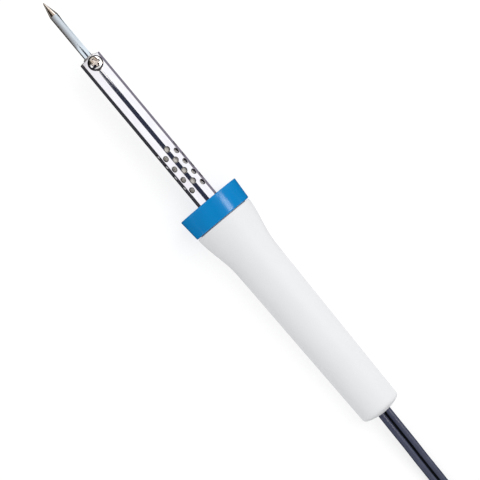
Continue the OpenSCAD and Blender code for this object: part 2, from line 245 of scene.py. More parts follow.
def screw_look():
    """Nickelled screw: bright face, warm worn recess, and a painted dark reflection round the edge of the head."""
    look = Look("screw_nickel", (0.9, 0.89, 0.87), metallic=1.0)
    across = look.node("Mapping", Vector=look.place, Location=(-SCREW_X, 0, 0))
    across.inputs["Scale"].default_value = (1, 1, 0)
    radius = look.node("VectorMath", **{"Vector": across.outputs["Vector"]})
    radius.operation = "LENGTH"
    rubbed = look.noise((0.5, 0.5, 0.5), detail=3.0)
    share = look.node("Math", Value=radius.outputs["Value"])
    share.operation = "MULTIPLY"
    share.inputs[1].default_value = 0.9 / HEAD_R
    # The dark band round the edge of the head is a painted dark reflection of its steep round edge.
    worn, plated, oxide = (0.88, 0.79, 0.72), (0.95, 0.94, 0.93), (0.05, 0.045, 0.05)
    look.bands(share.outputs["Value"], [(0.48, worn), (0.55, plated), (0.705, plated), (0.725, oxide)])
    return look.polish(rubbed, 0.06, 0.12).relief(rubbed, 0.0006)


def cap_look():
    """Blue moulded plastic with a satin gloss."""
    look = Look("cap_blue", (0.0, 0.205, 0.52), specular=0.22)
    clouds = look.noise((10, 5, 5))
    grain = look.noise((0.3, 0.3, 0.3), detail=3.0)
    look.tint(clouds, (0.0, 0.2, 0.505), (0.0, 0.213, 0.53))
    return look.polish(grain, 0.16, 0.22).relief(grain, 0.002)


def handle_look():
    """White matt plastic with a fine moulded grain."""
    look = Look("handle_white", (0.75, 0.757, 0.77), specular=0.15)
    clouds = look.noise((25, 9, 9))
    grain = look.noise((0.22, 0.22, 0.22), detail=3.0)
    look.tint(clouds, (0.743, 0.75, 0.764), (0.757, 0.765, 0.778))
    return look.polish(grain, 0.5, 0.62).relief(grain, 0.008)


def cord_look():
    """Dark slate PVC, a little glossy where it was extruded and rubbed."""
    look = Look("cord_pvc", (0.038, 0.046, 0.085), specular=0.4)
    clouds = look.noise((9, 4, 4))
    fine = look.noise((0.5, 0.2, 0.2), detail=3.0)
    look.tint(clouds, (0.034, 0.041, 0.078), (0.041, 0.05, 0.092))
    return look.polish(clouds, 0.34, 0.46).relief(fine, 0.004)


def woven(name, color, shade, pitch, depth):
    """Woven or braided threads."""
    look = Look(name, color, roughness=0.9, specular=0.2)
    threads = look.weave(pitch)
    fuzz = look.noise((0.15, 0.15, 0.15), detail=3.0)
    return look.tint(threads, shade, color, low=0.0, high=0.7).polish(fuzz, 0.75, 0.95).relief(
        threads, depth).relief(fuzz, depth / 3)


def layered(name, color, shade, size, depth, roughest):
    """Flaky sheet: mica, fibre board and the like."""
    look = Look(name, color)
    flakes = look.cells(size)
    grain = look.noise(tuple(s / 4 for s in size), detail=4.0)
    return look.tint(grain, shade, color).polish(flakes, roughest - 0.2, roughest).relief(flakes, depth)


ALL_LOOKS = [
    shank_look(), screw_look(), barrel_look(), cap_look(), handle_look(), cord_look(),
    plated_metal("spring_steel", (0.36, 0.36, 0.38), (0.3, 0.3, 0.31), 0.25, 0.4),
    turned_metal("bush_steel", (0.66, 0.64, 0.64), (0.56, 0.54, 0.53), 0.15, 0.3),
    drawn_metal("heater_steel", (0.5, 0.48, 0.45), (0.36, 0.33, 0.32), 0.3, 0.5),
    layered("ceramic", (0.92, 0.89, 0.85), (0.8, 0.77, 0.72), (0.4, 0.4, 0.4), 0.01, 0.75),
    layered("mica", (0.62, 0.5, 0.3), (0.45, 0.33, 0.17), (3, 1.5, 1.5), 0.02, 0.45),
    plated_metal("nichrome", (0.38, 0.33, 0.29), (0.24, 0.2, 0.19), 0.35, 0.55, size=0.3),
    drawn_metal("lead_wire", (0.66, 0.64, 0.6), (0.55, 0.52, 0.48), 0.25, 0.4),
    woven("fibreglass", (0.86, 0.85, 0.8), (0.6, 0.58, 0.52), 0.25, 0.03),
    turned_metal("ferrule_brass", (0.78, 0.58, 0.26), (0.66, 0.47, 0.19), 0.2, 0.35),
    plated_metal("flange_steel", (0.64, 0.64, 0.66), (0.55, 0.56, 0.58), 0.3, 0.45, size=1.5),
    layered("fibre_board", (0.36, 0.1, 0.05), (0.25, 0.06, 0.035), (1.5, 0.6, 0.6), 0.02, 0.8),
    plated_metal("zinc_steel", (0.72, 0.73, 0.76), (0.6, 0.62, 0.68), 0.28, 0.42),
    drawn_metal("copper", (0.86, 0.46, 0.3), (0.72, 0.34, 0.2), 0.2, 0.35, line=0.12, depth=0.02),
    moulded("clamp_plastic", (0.7, 0.7, 0.7), (0.62, 0.62, 0.62), 0.4, 0.55),
    woven("tie_black", (0.03, 0.03, 0.034), (0.012, 0.012, 0.014), 0.5, 0.05),
    moulded("plug_pvc", (0.048, 0.058, 0.092), (0.04, 0.048, 0.078), 0.36, 0.5, grain=0.35, depth=0.01),
    drawn_metal("blade_metal", (0.8, 0.74, 0.6), (0.7, 0.64, 0.5), 0.16, 0.3, line=0.4),
]
LOOKS = {look.slot: look.material for look in ALL_LOOKS}
TIP_LOOK = tip_look().material
# Near-black material for the cord's groove between its lobes: painted shade in the groove.
GROOVE_LOOK = moulded("cord_groove_painted_shade", (0.006, 0.007, 0.01), (0.003, 0.004, 0.006), 0.6, 0.8, specular=0.1).material
# Dark material for the barrel's vent rims and the screw's recess walls: painted shade and dark reflection where their
# edges turn away.
RIM_LOOK = plated_metal("punched_rim_painted_shade", (0.1, 0.09, 0.1), (0.05, 0.045, 0.05), 0.3, 0.5, size=0.3).material


def dress_nodes():
    """Gives every CAD node the material of its slot."""
    slots = {part["node"]: part["material_slot"] for part in frame["record"]["subparts"]}
    for name, node in frame["nodes"].items():
        node.data.materials.clear()
        node.data.materials.append(LOOKS[slots[name]])


# ---------------------------------------------------------------- mesh helpers

def mesh_object(name, points, faces, sharp=30, to_world=None):
    """A mesh piece with smooth faces and sharp edges above that angle, in degrees."""
    mesh = bpy.data.meshes.new(name)
    mesh.from_pydata([tuple(p) for p in points], [], faces)
    if to_world is not None:
        mesh.transform(to_world)
    mesh.validate()
    built = bmesh.new()
    built.from_mesh(mesh)
    bmesh.ops.remove_doubles(built, verts=built.verts, dist=1e-7)
    bmesh.ops.recalc_face_normals(built, faces=built.faces)
    built.to_mesh(mesh)
    built.free()
    mesh.shade_smooth()
    mesh.set_sharp_from_angle(angle=math.radians(sharp))
    piece = bpy.data.objects.new(name, mesh)
    bpy.context.collection.objects.link(piece)
    return piece


def grid_faces(rows, columns, close_rows=False, close_columns=True):
    """Quads over a grid of rows of points, closed round in one or both directions."""
    faces = []
    for i in range(rows if close_rows else rows - 1):
        for j in range(columns if close_columns else columns - 1):
            a, b = i * columns, (i + 1) % rows * columns
            k = (j + 1) % columns
            faces.append((a + j, a + k, b + k, b + j))
    return faces


def rounded(corners, steps=5):
    """A closed outline through (radius, x, fillet) corners, each rounded by its fillet."""
    outline = []
    for i, (r, x, fillet) in enumerate(corners):
        here = Vector((r, x))
        before = Vector(corners[i - 1][:2]) - here
        after = Vector(corners[(i + 1) % len(corners)][:2]) - here
        if fillet <= 0:
            outline.append((r, x))
            continue
        start = here + before.normalized() * min(fillet, before.length / 2)
        end = here + after.normalized() * min(fillet, after.length / 2)
        for step in range(steps + 1):
            t = step / steps
            point = start * (1 - t) ** 2 + here * 2 * t * (1 - t) + end * t ** 2
            outline.append(tuple(point))
    return outline


def turned(name, outline, segments=96, sharp=30, centre=None, closed=True):
    """A piece turned about the iron's axis, or about its screw's axis through centre, from (radius, place) points."""
    points = []
    for r, h in outline:
        for j in range(segments):
            a = 2 * math.pi * j / segments
            u, v = r * math.cos(a), r * math.sin(a)
            points.append((h, u, v) if centre is None else (centre + u, v, h))
    return mesh_object(name, points, grid_faces(len(outline), segments, close_rows=closed), sharp, TO_WORLD)


def prism(name, outline, low, high, shrink=1.0, at=(0, 0)):
    """An upright block from a flat outline of (x, y) points, its lower end scaled by shrink."""
    n = len(outline)
    points = [(at[0] + x * shrink, at[1] + y * shrink, low) for x, y in outline]
    points += [(at[0] + x, at[1] + y, high) for x, y in outline]
    faces = grid_faces(2, n) + [tuple(range(n))[::-1], tuple(range(n, 2 * n))]
    return mesh_object(name, points, faces, 30, TO_WORLD)


def swept(name, rings, sharp=35):
    """A closed tube through rings of points, with capped ends."""
    sides = len(rings[0])
    points = [p for ring in rings for p in ring]
    faces = grid_faces(len(rings), sides)
    faces.append(tuple(range(sides)))
    faces.append(tuple(range((len(rings) - 1) * sides, len(rings) * sides))[::-1])
    return mesh_object(name, points, faces, sharp)


def subtract(piece, cutter):
    """Cuts one mesh out of another for good."""
    cut = piece.modifiers.new("cut", "BOOLEAN")
    cut.operation, cut.solver, cut.object = "DIFFERENCE", "EXACT", cutter
    evaluated = piece.evaluated_get(bpy.context.evaluated_depsgraph_get())
    mesh = bpy.data.meshes.new_from_object(evaluated)
    piece.modifiers.clear()
    old, piece.data = piece.data, mesh
    bpy.data.meshes.remove(old)
    bpy.data.objects.remove(cutter)
    mesh.shade_smooth()
    mesh.set_sharp_from_angle(angle=math.radians(30))
    return piece


def joined(name, pieces):
    """Several meshes as one piece."""
    with bpy.context.temp_override(active_object=pieces[0], selected_editable_objects=pieces):
        bpy.ops.object.join()
    pieces[0].name = name
    return pieces[0]


def settled(piece, body, slot, *nodes):
    """Makes a piece ride on its body, stand for its CAD nodes and take its slot's material."""
    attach(piece, body)
    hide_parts(*nodes)
    piece.data.materials.clear()
    piece.data.materials.append(LOOKS[slot])
    return piece


# ---------------------------------------------------------------- cord
CORD_W, CORD_T = 5.8, 2.9   # width and thickness of the flat twin cord
LOBE_R, GROOVE = 1.38, 0.22  # radius of its two lobes, and half thickness of the web between them
RING_STEP = 1.6
ROLL, ON_EDGE = 7, 90       # turn of the cord where it leaves the tail, and in the hank
# How the cord leaves the tail and how it reaches the plug, as in the CAD model
CORD_ROUTE = [(-103.2, 0, 8.5), (-108, 0.1, 8.2), (-114, 0.2, 7.6), (-120, 0.3, 6.7),
              (-126, 0.5, 5.5), (-132, 0.6, 4.2), (-138, 0.7, 3), (-144, 0.9, 2.1),
              (-150, 1, 1.6), (-153, 1, 1.5)]
PLUG_ROUTE = [(-246, 19.6, 2.9), (-250, 18.5, 2.9), (-254, 16.9, 3), (-258, 15.2, 3.3),
              (-262, 13.7, 3.8), (-266, 12.5, 4.4), (-270, 11.7, 4.9), (-274, 11.2, 5.4),
              (-278, 11, 5.7), (-282, 11, 5.8)]
# Inside the hank's near loop the cord turns on edge: x, y, z and turn from flat
LEAD_IN = [(-160, 1, 1.46, 0), (-167, 0.9, 1.68, 8), (-174, 0.9, 2.15, 28), (-181, 1, 2.62, 53),
           (-188, 1.2, 2.92, 75), (-194, 1.4, 3.2, 87), (-199.5, 1.55, 3.6, 90)]
HANK_X = -205.5                      # middle of the hank, where the tie is
LOOP_X, LOOP_R, WAIST = 30.2, 17.35, 1.55   # centre and radius of the inner end loop, half gap at the tie
WRAP = 100                           # where a loop leaves its run, in degrees from its tip
COLUMN, LAYER = 3.05, 5.85           # from one cord to the next, outwards and upwards
# Column and layer of each turn, and where along it the cord moves to the next place. A turn
# runs from 0 at the tie round the far loop to 1, and round the near loop to 2.
PLACES = [(0, 0), (0, 1), (0, 2), (1, 2), (1, 1), (1, 0)]
CHANGES = [1.9, 1.74, 1.58, 0.61, 0.45]
CHANGE_L = 0.16
TURN_STEPS = 72
EXIT_TURN = 0.24                     # where the last turn leaves for the plug
LEAD_OUT = [(-239.5, 20.4, 2.9, 90)]
HUMP, TIE_LIFT = 2.95, 0.8           # over the lead-in, and on the tie


def loop_point(s, end):
    """A quarter of the innermost turn: 0 at the tie, 1 at the tip of the loop."""
    angle = math.radians(WRAP)
    if s < 0.5:
        goal = Vector((LOOP_X + LOOP_R * math.cos(angle), LOOP_R * math.sin(angle)))
        reach = goal.x * 1.1
        t = s * 2
        return (Vector((0, WAIST)) * (2 * t ** 3 - 3 * t ** 2 + 1)
                + Vector((reach, 0)) * (t ** 3 - 2 * t ** 2 + t)
                + goal * (3 * t ** 2 - 2 * t ** 3)
                + Vector((math.sin(angle), -math.cos(angle))) * reach * (t ** 3 - t ** 2))
    angle *= 2 - s * 2
    return Vector((LOOP_X + LOOP_R * math.cos(angle), LOOP_R * math.sin(angle)))


def turn_point(s, column):
    """Point s (0 to 2) of a turn, that many columns outside the innermost one."""
    end, t = (-1, s) if s < 1 else (1, s - 1)

    def at(t):
        side = 1 if t < 0.5 else -1
        x, y = loop_point(1 - abs(2 * t - 1), end)
        return Vector((end * x, -side * end * y))

    ahead = at(min(t + 0.004, 1)) - at(max(t - 0.004, 0))
    out = Vector((ahead.y, -ahead.x)).normalized()
    point = at(t) + out * column * COLUMN
    return HANK_X + point.x, point.y


def lift(x, y):
    """How far the lowest layer of the hank is above the bench."""
    over_lead = HUMP * (1 - smooth((abs(y - 1) - 3.4) / 11)) if x > HANK_X + LOOP_X else 0
    over_tie = TIE_LIFT * (1 - smooth((abs(x - HANK_X) - 3) / 12))
    return max(over_lead, over_tie)


def hank_points():
    """The turns of the hank: the inner column from below, then the outer one from above."""
    points = []
    for turn, (column, layer) in enumerate(PLACES):
        last = turn == len(CHANGES)
        for step in range(TURN_STEPS):
            s = 2 * step / TURN_STEPS
            if last:
                if s > EXIT_TURN:
                    break
                moved = 0
                after = column, layer
            else:
                moved = smooth((s - CHANGES[turn]) / CHANGE_L + 0.5)
                after = PLACES[turn + 1]
            x, y = turn_point(s, lerp(column, after[0], moved))
            z = lift(x, y) + LAYER * lerp(layer, after[1], moved) + CORD_W / 2
            points.append((x, y, z, ON_EDGE))
    return points


def spline(points, spacing):
    """Evenly spaced points of a smooth curve through points whose first three numbers are a place."""
    dense = []
    for i in range(len(points) - 1):
        p0, p1 = points[max(i - 1, 0)], points[i]
        p2, p3 = points[i + 1], points[min(i + 2, len(points) - 1)]
        for step in range(8):
            t = step / 8
            dense.append([0.5 * (2 * b + (c - a) * t + (2 * a - 5 * b + 4 * c - d) * t ** 2
                                 + (3 * b - a - 3 * c + d) * t ** 3)
                          for a, b, c, d in zip(p0, p1, p2, p3)])
    dense.append(list(points[-1]))
    even, left = [dense[0]], spacing
    for a, b in zip(dense, dense[1:]):
        length = math.dist(a[:3], b[:3])
        while length >= left:
            share = left / length
            a = [lerp(u, v, share) for u, v in zip(a, b)]
            length -= left
            even.append(a)
            left = spacing
        left -= length
    if left < spacing / 2:
        even.append(dense[-1])
    else:
        even[-1] = dense[-1]
    return even


def cord_path():
    """The whole cord as (x, y, z, turn from flat) points in millimetres and degrees."""
    tail_end, plug_end = len(CORD_ROUTE) - 1, len(PLUG_ROUTE) - 1
    tail = [(*p, -ROLL * (1 - i / tail_end)) for i, p in enumerate(CORD_ROUTE)]
    plug = [(*p, ON_EDGE * (1 - i / plug_end)) for i, p in enumerate(PLUG_ROUTE)]
    return spline(tail + LEAD_IN + hank_points() + LEAD_OUT + plug, RING_STEP)


def twin_section():
    """Outline of a flat twin cord: two round lobes joined by a thinner web."""
    reach = CORD_W / 2 - LOBE_R
    lobe = [math.radians(a) for a in range(-161, 162, 23)]
    right = [(reach + LOBE_R * math.cos(a), LOBE_R * math.sin(a)) for a in lobe]
    web = [(0, GROOVE)]
    return right + web + [(-x, -y) for x, y in right] + [(-x, -y) for x, y in web]


def cord_rings(path):
    """A ring of the cord's section at each point, turned by the path's own angle."""
    centres = [Vector(p[:3]) for p in path]
    section = twin_section()
    rings = []
    for i, centre in enumerate(centres):
        ahead = (centres[min(i + 1, len(centres) - 1)] - centres[max(i - 1, 0)]).normalized()
        side = Vector((0, 0, 1)).cross(ahead).normalized()
        up = ahead.cross(side)
        turn = math.radians(path[i][3])
        wide = side * math.cos(turn) + up * math.sin(turn)
        thick = up * math.cos(turn) - side * math.sin(turn)
        rings.append([(centre + wide * a + thick * b) * MM for a, b in section])
    return rings


def add_cord(path):
    """The cord, with the narrow groove between its lobes a darker material, a painted shade in the groove."""
    cord = settled(swept("twin_cord", cord_rings(path), sharp=60), "root", "cord_pvc",
                   "cord", "cord_hank", "plug_cord")
    cord.data.materials.append(GROOVE_LOOK)
    half = len(twin_section()) // 2
    # The faces round the web between the lobes are painted dark as shade in the groove.
    for i, face in enumerate(cord.data.polygons):
        if (i + 3) % half < 4:
            face.material_index = 1
    return cord


cord_line = cord_path()
twin_cord = add_cord(cord_line)


# ---------------------------------------------------------------- handle and cap
CAP_R, CAP_BACK_R, CAP_L = 13.6, 12.95, 9.2
CAP_WALL, CAP_BORE, CAP_HOLE = 1.8, 11.3, 4.95
HANDLE_L = 107.1
GRIP_R, TAIL_R, FLARE_H = 9.83, 8.61, 2.62
FLARE_START, FLARE_END = 8.5, 30
SPIGOT_FRONT, SPIGOT_R, SHOULDER = 5.3, 11.0, 9.55
BORE_R, BORE_END = 6.8, 103.2
TAIL_FILLET, DOME_H = 1.9, 1.3
TAIL_U = HANDLE_L - DOME_H - TAIL_FILLET
SLOT_R = CORD_T / 2 + 0.15


def grip_r(u):
    """Radius of the grip at a distance behind the cap's front face."""
    taper = GRIP_R - (GRIP_R - TAIL_R) * (u - FLARE_END) / (TAIL_U - FLARE_END)
    if u > FLARE_END:
        return taper
    return taper + FLARE_H * (1 + math.cos(math.pi * (u - FLARE_START) / (FLARE_END - FLARE_START))) / 2


def handle_outline():
    """Outside from the spigot to the domed tail, then back along the bore, as (radius, x) points."""
    dome_edge = TAIL_R - 1.4
    dome_r = (dome_edge ** 2 + DOME_H ** 2) / (2 * DOME_H)
    outline = [(BORE_R, -SPIGOT_FRONT), (SPIGOT_R - 0.2, -SPIGOT_FRONT), (SPIGOT_R, -SPIGOT_FRONT - 0.2)]
    outline.append((SPIGOT_R, -SHOULDER))
    edge = grip_r(SHOULDER)
    outline += [(edge - 0.25, -SHOULDER), (edge - 0.08, -SHOULDER - 0.06), (edge, -SHOULDER - 0.25)]
    steps = 40
    for i in range(1, steps + 1):
        u = SHOULDER + (FLARE_END - SHOULDER) * i / steps
        outline.append((grip_r(u), -u))
    outline += [(grip_r(u), -u) for u in (45, 60, 75, 90)]
    for i in range(11):
        a = math.radians(90 + 75 * i / 10)
        outline.append((TAIL_R - TAIL_FILLET + TAIL_FILLET * math.sin(a), -TAIL_U + TAIL_FILLET * math.cos(a)))
    dome_angle = math.asin(dome_edge / dome_r)
    for i in range(1, 9):
        a = dome_angle * (1 - i / 9)
        outline.append((dome_r * math.sin(a), dome_r * (1 - math.cos(a)) - HANDLE_L))
    return outline + [(0.02, -HANDLE_L), (0.02, -BORE_END), (BORE_R, -BORE_END)]


def slot_outline(radius):
    """A flat ring of points round the cord's slot, as (y, z)."""
    ends = [math.radians(a) for a in range(-90, 91, 15)]
    right = [(CORD_W / 4 + radius * math.cos(a), radius * math.sin(a)) for a in ends]
    return right + [(-y, -z) for y, z in right]


def add_handle():
    handle = turned("grip_shell", handle_outline(), segments=128)
    rings = [[(x, y, z) for y, z in slot_outline(r)]
             for x, r in ((-HANDLE_L - 2, SLOT_R + 0.25), (-HANDLE_L + 0.15, SLOT_R + 0.25),
                          (-HANDLE_L + 0.4, SLOT_R), (-BORE_END + 1, SLOT_R))]
    cutter = swept("slot_cutter", [[TO_WORLD @ Vector(p) for p in ring] for ring in rings])
    handle = subtract(handle, cutter)
    return settled(handle, "root", "handle_white", "handle")


def add_cap():
    corners = [(CAP_R, 0, 0.3), (CAP_BACK_R, -CAP_L, 0.5), (CAP_BORE, -CAP_L, 0.12),
               (CAP_BORE, -CAP_WALL, 0.3), (CAP_HOLE, -CAP_WALL, 0.1), (CAP_HOLE, 0, 0.25)]
    cap = turned("collar_cap", rounded(corners), segments=128)
    return settled(cap, "root", "cap_blue", "front_cap")


grip_shell = add_handle()
collar_cap = add_cap()


# ---------------------------------------------------------------- bit and bush
BIT_R, BARE_R, TIP_X = 1.75, 1.70, 100
BIT_BACK, PLATED_BACK, POINT_X = 30.6, 72.75, 93.9
LIP_R, LIP_FRONT, BUSH_R, BUSH_BACK = 2.45, 72.6, 4.22, 64.4
BARREL_FRONT = 71.8
BORE = 1.76


def add_bit():
    """The plated bit, with its working cone as a second material."""
    cone = [(BIT_R, POINT_X - 0.45), (BIT_R - 0.03, POINT_X - 0.1), (BIT_R - 0.12, POINT_X + 0.25)]
    for i in range(1, 9):
        x = lerp(POINT_X + 0.25, TIP_X - 0.22, i / 8)
        cone.append((lerp(BIT_R - 0.12, 0.25, i / 8), x))
    nose = [(0.19, TIP_X - 0.09), (0.09, TIP_X - 0.02), (0.005, TIP_X)]
    shank = [(0.005, BIT_BACK), (BARE_R - 0.3, BIT_BACK), (BARE_R, BIT_BACK + 0.3),
             (BARE_R, PLATED_BACK - 0.65), (BIT_R, PLATED_BACK), (BIT_R, 80), (BIT_R, 87)]
    bit = turned("tip_and_shank", shank + cone + nose, segments=64, closed=False)
    settled(bit, "bit", "bit_plating", "bit")
    bit.data.materials.append(TIP_LOOK)
    for face in bit.data.polygons:
        if (TO_WORLD.inverted() @ face.center).x > POINT_X - 0.3:
            face.material_index = 1
    return bit


def add_bush():
    """The bush in the barrel's mouth: a turned face, a lip round the bit and a small groove between."""
    corners = [(BORE, BUSH_BACK, 0.1), (BUSH_R, BUSH_BACK, 0.2), (BUSH_R, BARREL_FRONT - 0.12, 0.15),
               (LIP_R + 0.25, BARREL_FRONT - 0.12, 0.05), (LIP_R, BARREL_FRONT - 0.3, 0.12),
               (LIP_R, LIP_FRONT, 0.22), (BORE, LIP_FRONT, 0.1)]
    bush = turned("front_bush_turned", rounded(corners, 4), segments=96)
    hole = turned("bush_thread_cutter", [(0.01, 1.9), (1.55, 1.9), (1.55, 5), (0.01, 5)], segments=32,
                  centre=SCREW_X)
    bush = subtract(bush, hole)
    return settled(bush, "root", "bush_steel", "front_bush")


tip_and_shank = add_bit()
front_bush = add_bush()


# ---------------------------------------------------------------- clamp screw
HEAD_H, HEAD_Z = 1.9, 5.17
DOME_R, DOME_ANGLE = 2.62, 24           # where the dome turns over into the head's round edge
SHANK_R, SHANK_END = 1.5, 1.73
RECESS_SPAN, RECESS_W, RECESS_DEPTH = 3.7, 0.95, 0.9
RECESS_TAPER = 0.7                      # how much smaller the recess is at its floor
RECESS_WALL_SLOPE = 0.8                 # walls steeper than this take the dark rim material, a painted shade in the recess


def head_outline():
    """A flat domed head with a round edge, as (radius, height) points."""
    a0 = math.radians(DOME_ANGLE)
    sphere = DOME_R / math.sin(a0)
    edge = (HEAD_R - DOME_R) / (1 - math.sin(a0))
    top = [(sphere * math.sin(a0 * i / 8), HEAD_H - sphere * (1 - math.cos(a0 * i / 8))) for i in range(9)]
    top[0] = (0.005, HEAD_H)
    low = top[-1][1] - edge * math.cos(a0)
    side = [(HEAD_R - edge + edge * math.sin(a), low + edge * math.cos(a))
            for a in (lerp(a0, math.pi / 2, i / 8) for i in range(1, 9))]
    base = [(HEAD_R, 0.16), (HEAD_R - 0.05, 0.04), (HEAD_R - 0.16, 0)]
    return [(r, HEAD_Z + h) for r, h in top + side + base]


def thread_outline():
    """The screw's shank below its head, with the crests of its thread."""
    outline = [(SHANK_R - 0.05, HEAD_Z)]
    pitch, z = 0.5, HEAD_Z - 0.4
    while z - pitch > SHANK_END + 0.3:
        outline += [(SHANK_R - 0.25, z), (SHANK_R - 0.03, z - 0.2), (SHANK_R - 0.03, z - 0.27)]
        z -= pitch
    return outline + [(SHANK_R - 0.25, SHANK_END + 0.3), (SHANK_R - 0.5, SHANK_END), (0.005, SHANK_END)]


def cross_outline(span, width):
    """A cross with rounded inner corners, as (x, y) points."""
    a, b, c = span / 2, width / 2, width / 2 + 0.22
    quarter = [(a, -b), (a, b), (c, b), (b, c)]
    outline = []
    for turn in range(4):
        angle = math.radians(90 * turn)
        outline += [(x * math.cos(angle) - y * math.sin(angle), x * math.sin(angle) + y * math.cos(angle))
                    for x, y in quarter]
    return outline


def add_screw():
    screw = turned("clamp_screw_head", head_outline() + thread_outline(), segments=72, sharp=35,
                   centre=SCREW_X, closed=False)
    top = HEAD_Z + HEAD_H
    cutter = prism("recess_cutter", cross_outline(RECESS_SPAN * 1.15, RECESS_W * 1.15),
                   top - RECESS_DEPTH, top + 0.3, shrink=RECESS_TAPER, at=(SCREW_X, 0))
    screw = settled(subtract(screw, cutter), "screw", "screw_nickel", "clamp_screw")
    screw.data.materials.append(RIM_LOOK)
    to_iron = TO_WORLD.inverted()
    for face in screw.data.polygons:
        centre = to_iron @ face.center
        slope = abs((to_iron.to_3x3() @ face.normal).normalized().z)
        in_recess = math.hypot(centre.x - SCREW_X, centre.y) < DOME_R and centre.z > top - RECESS_DEPTH
        # Steep walls inside the recess are painted dark: painted shade in the recess.
        if in_recess and slope < RECESS_WALL_SLOPE:
            face.material_index = 1
    return screw


clamp_screw = add_screw()


# ---------------------------------------------------------------- barrel
BARREL_R, BARREL_WALL, BARREL_BACK = 4.65, 0.4, -4.2
VENT_R, PITCH, ROWS, PER_ROW, FIRST_VENT = 1.0, 5.25, 10, 4, 6.9
CELL_STEPS = 8                          # points along each side of the cell round a vent
SEAT_R = 3.1
# How far each ring of a hole's rim is outside the hole and below the tube's face, and its slope
RIM = [(0.28, 0.0, 0), (0.2, 0.02, 25), (0.09, 0.07, 55), (0.0, 0.16, 80), (0.0, BARREL_WALL, 90)]
SHARP_RIM = 2                           # the ring from which the rim is painted dark, as painted shade where it turns into the hole
SCREW_HOLE, SCREW_CELL, SCREW_STEPS = 1.7, 2.7, 16


def barrel_point(x, turn, depth=0.0):
    """A point of the tube's outside, a little flattened under the clamp screw."""
    r = BARREL_R - depth
    y, z = r * math.sin(turn), r * math.cos(turn)
    if z > SEAT_Z:
        away = math.hypot(x - SCREW_X, y)
        z = lerp(SEAT_Z, z, smooth((away - SEAT_R + 0.3) / 0.5))
    return Vector((x, y, z))


def barrel_normal(x, turn):
    """The direction that the tube's outside faces."""
    d = 0.02
    along = barrel_point(x + d, turn) - barrel_point(x - d, turn)
    across = barrel_point(x, turn + d) - barrel_point(x, turn - d)
    return along.cross(across).normalized()


class Shell:
    """Points, faces and exact normals of the barrel while it is built."""

    def __init__(self):
        self.points, self.normals, self.faces, self.found = [], [], [], {}
        self.dark_faces = set()

    def add(self, point, normal):
        key = tuple(round(c, 4) for c in (*point, *normal))
        if key not in self.found:
            self.found[key] = len(self.points)
            self.points.append(point)
            self.normals.append(normal)
        return self.found[key]

    def outer(self, x, turn):
        return self.add(barrel_point(x, turn), barrel_normal(x, turn))

    def inner(self, x, turn):
        inward = Vector((0, -math.sin(turn), -math.cos(turn)))
        return self.add(Vector((x, 0, 0)) - inward * (BARREL_R - BARREL_WALL), inward)

    def quad(self, *corners, dark=False):
        if dark:
            self.dark_faces.add(len(self.faces))
        self.faces.append(corners)


STEP_TURN = 2 * math.pi / (ROWS * CELL_STEPS)


def plain_band(shell, xs, turns):
    """Tube wall, inside and out, between the given places along and round it."""
    for x0, x1 in zip(xs, xs[1:]):
        for a0, a1 in zip(turns, turns[1:]):
            shell.quad(shell.outer(x0, a0), shell.outer(x1, a0), shell.outer(x1, a1), shell.outer(x0, a1))
            shell.quad(shell.inner(x0, a0), shell.inner(x0, a1), shell.inner(x1, a1), shell.inner(x1, a0))


def holed_cell(shell, x, turn, half_x, steps, hole):
    """One cell of the tube's wall, that many steps long and round, with a hole in its middle."""
    half_turn = STEP_TURN * steps / 2
    go = [-1 + 2 * i / steps for i in range(steps)]
    sides = ([(t, -1) for t in go] + [(1, t) for t in go] + [(-t, 1) for t in go] + [(-1, -t) for t in go])
    border = [(x + half_x * u, turn + half_turn * v) for u, v in sides]
    angles = [math.atan2(v * half_turn * BARREL_R, u * half_x) for u, v in sides]
    rings = [[shell.outer(px, pa) for px, pa in border]]
    for grow, depth, slope in RIM:
        ring, tilt = [], math.radians(slope)
        for angle in angles:
            px = x + (hole + grow) * math.cos(angle)
            around = turn + (hole + grow) * math.sin(angle) / BARREL_R
            side = Vector((0, math.cos(around), -math.sin(around)))
            inward = -(Vector((1, 0, 0)) * math.cos(angle) + side * math.sin(angle))
            out = barrel_normal(px, around)
            ring.append(shell.add(barrel_point(px, around, depth), out * math.cos(tilt) + inward * math.sin(tilt)))
        rings.append(ring)
    inside = [[shell.inner(x + hole * math.cos(a), turn + hole * math.sin(a) / BARREL_R) for a in angles],
              [shell.inner(px, pa) for px, pa in border]]
    count = len(sides)
    for level, (first, second) in enumerate(list(zip(rings, rings[1:])) + [tuple(inside)]):
        # From SHARP_RIM inwards the rim rings are painted dark: painted shade where the edge turns into the hole.
        dark = SHARP_RIM <= level < len(RIM)
        for j in range(count):
            k = (j + 1) % count
            shell.quad(first[j], first[k], second[k], second[j], dark=dark)


